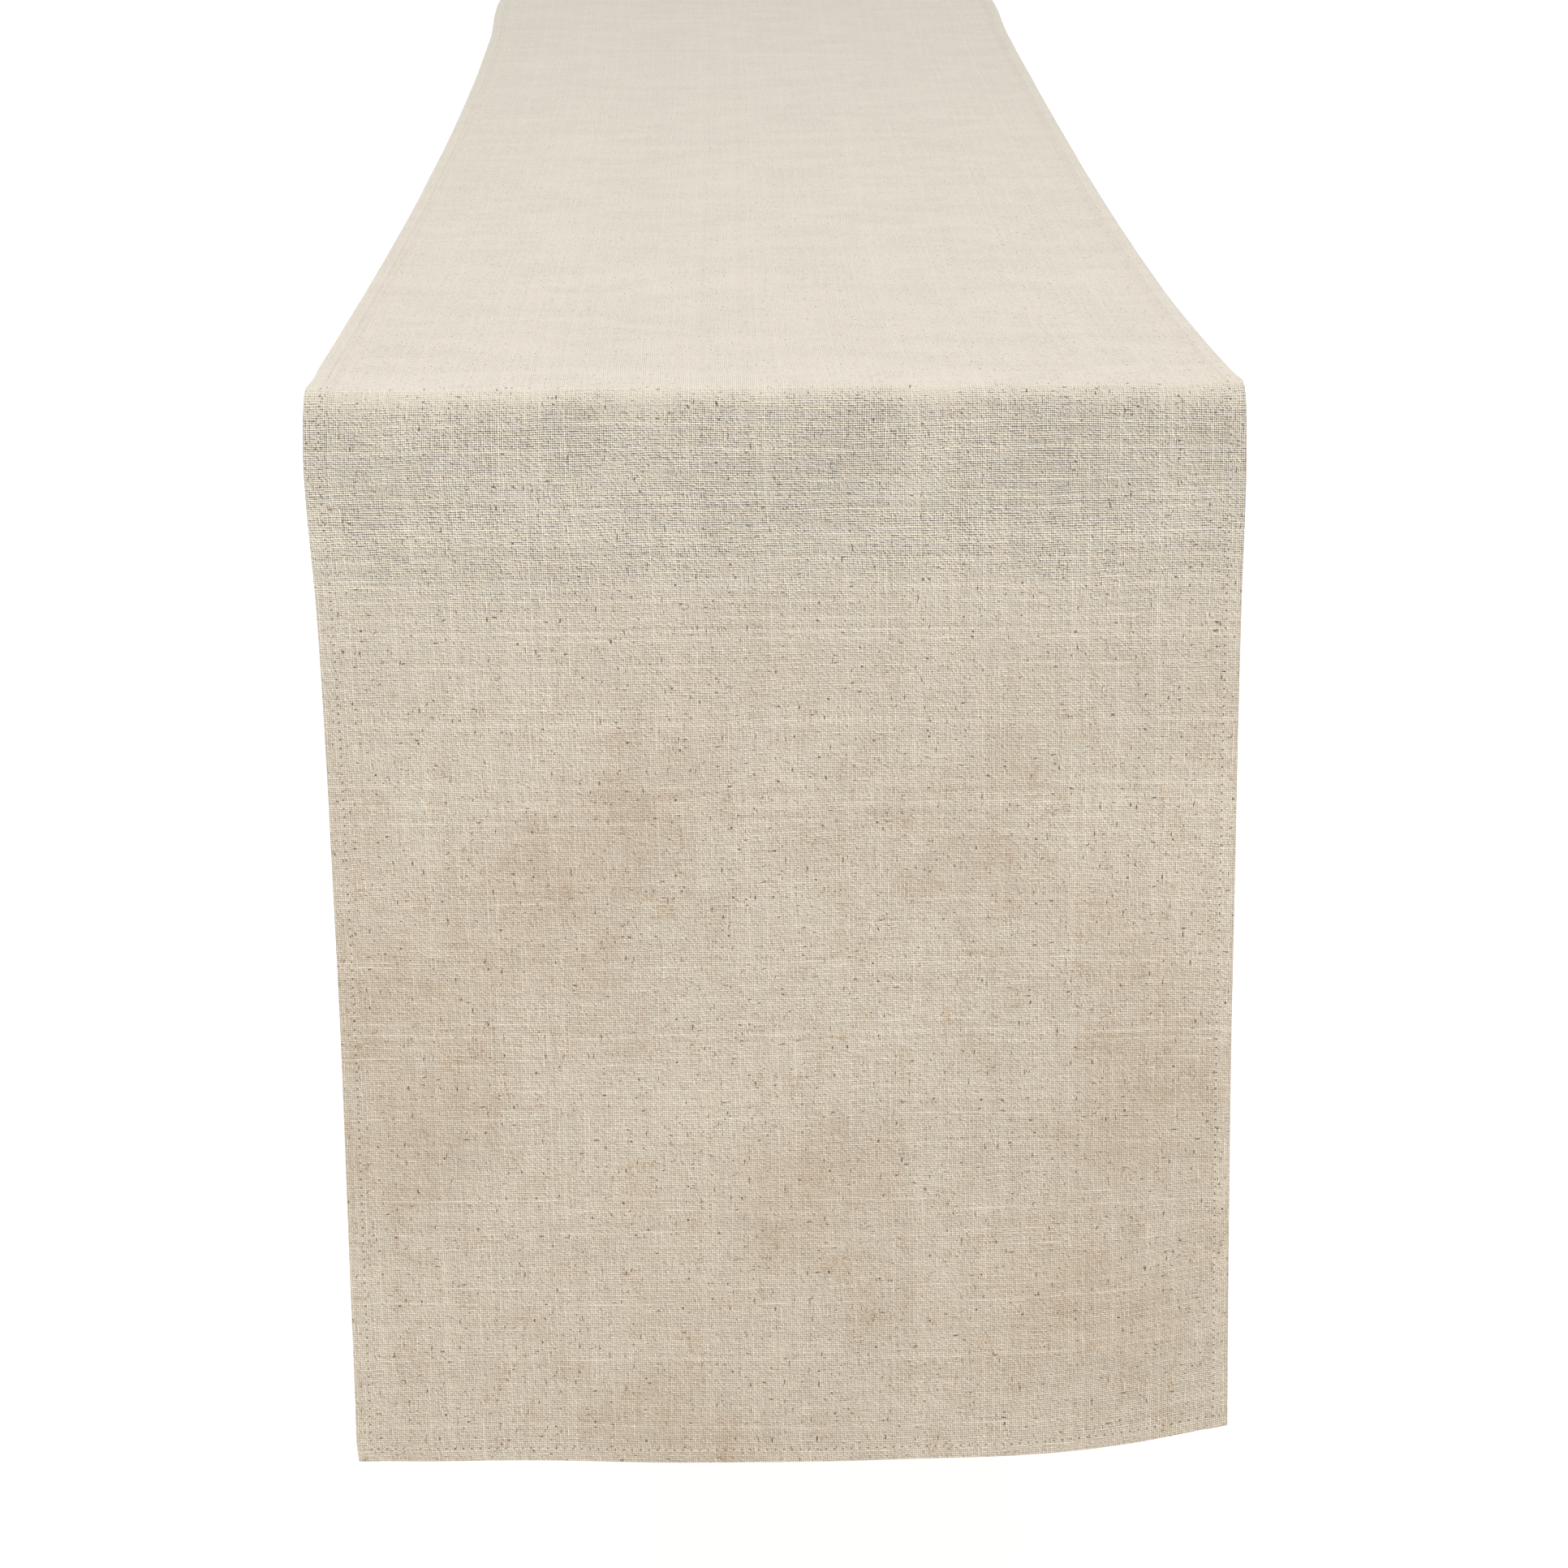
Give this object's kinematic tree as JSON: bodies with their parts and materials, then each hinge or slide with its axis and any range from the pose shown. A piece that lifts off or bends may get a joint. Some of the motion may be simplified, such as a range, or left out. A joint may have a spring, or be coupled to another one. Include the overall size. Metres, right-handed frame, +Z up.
{
  "type": "table runner",
  "caption": "Long narrow hemmed table runner in a plain natural linen weave, laid along a table with a drop hanging over each end.",
  "frame": {"origin": "Centre of the underside of the stretch that lies on the table, so z = 0 is the table's top.", "axes": "+Z up, the runner's length along Y with the front drop at -Y, its width along X."},
  "size_m": [0.33, 1.9396, 0.4097],
  "materials": {
    "woven_cloth": "matt plain weave of slubbed natural linen-coloured yarn",
    "hem_cloth": "the same cloth, turned under twice and pressed",
    "sewing_thread": "spun polyester sewing thread, slightly lustrous"
  },
  "bodies": {
    "top_span": {"top_cloth": "woven_cloth", "top_left_hem": "hem_cloth", "top_right_hem": "hem_cloth", "front_bend_cloth": "woven_cloth", "front_bend_left_hem": "hem_cloth", "front_bend_right_hem": "hem_cloth", "back_bend_cloth": "woven_cloth", "back_bend_left_hem": "hem_cloth", "back_bend_right_hem": "hem_cloth", "top_left_needle_thread": "sewing_thread", "top_left_bobbin_thread": "sewing_thread", "top_right_needle_thread": "sewing_thread", "top_right_bobbin_thread": "sewing_thread"},
    "front_drop": {"front_drop_cloth": "woven_cloth", "front_drop_left_hem": "hem_cloth", "front_drop_right_hem": "hem_cloth", "front_end_hem": "hem_cloth", "front_left_corner": "hem_cloth", "front_right_corner": "hem_cloth", "front_left_needle_thread": "sewing_thread", "front_left_bobbin_thread": "sewing_thread", "front_right_needle_thread": "sewing_thread", "front_right_bobbin_thread": "sewing_thread", "front_end_needle_thread": "sewing_thread", "front_end_bobbin_thread": "sewing_thread"},
    "back_drop": {"back_drop_cloth": "woven_cloth", "back_drop_left_hem": "hem_cloth", "back_drop_right_hem": "hem_cloth", "back_end_hem": "hem_cloth", "back_left_corner": "hem_cloth", "back_right_corner": "hem_cloth", "back_left_needle_thread": "sewing_thread", "back_left_bobbin_thread": "sewing_thread", "back_right_needle_thread": "sewing_thread", "back_right_bobbin_thread": "sewing_thread", "back_end_needle_thread": "sewing_thread", "back_end_bobbin_thread": "sewing_thread"}
  },
  "joints": [
    {"name": "front_drop_hinge", "type": "hinge", "parent": "top_span", "child": "front_drop", "pos_m": [0, -0.96844, -0.00766], "axis": [-1, 0, 0], "range_deg": [0, 90]},
    {"name": "back_drop_hinge", "type": "hinge", "parent": "top_span", "child": "back_drop", "pos_m": [0, 0.96844, -0.00766], "axis": [1, 0, 0], "range_deg": [0, 90]}
  ]
}
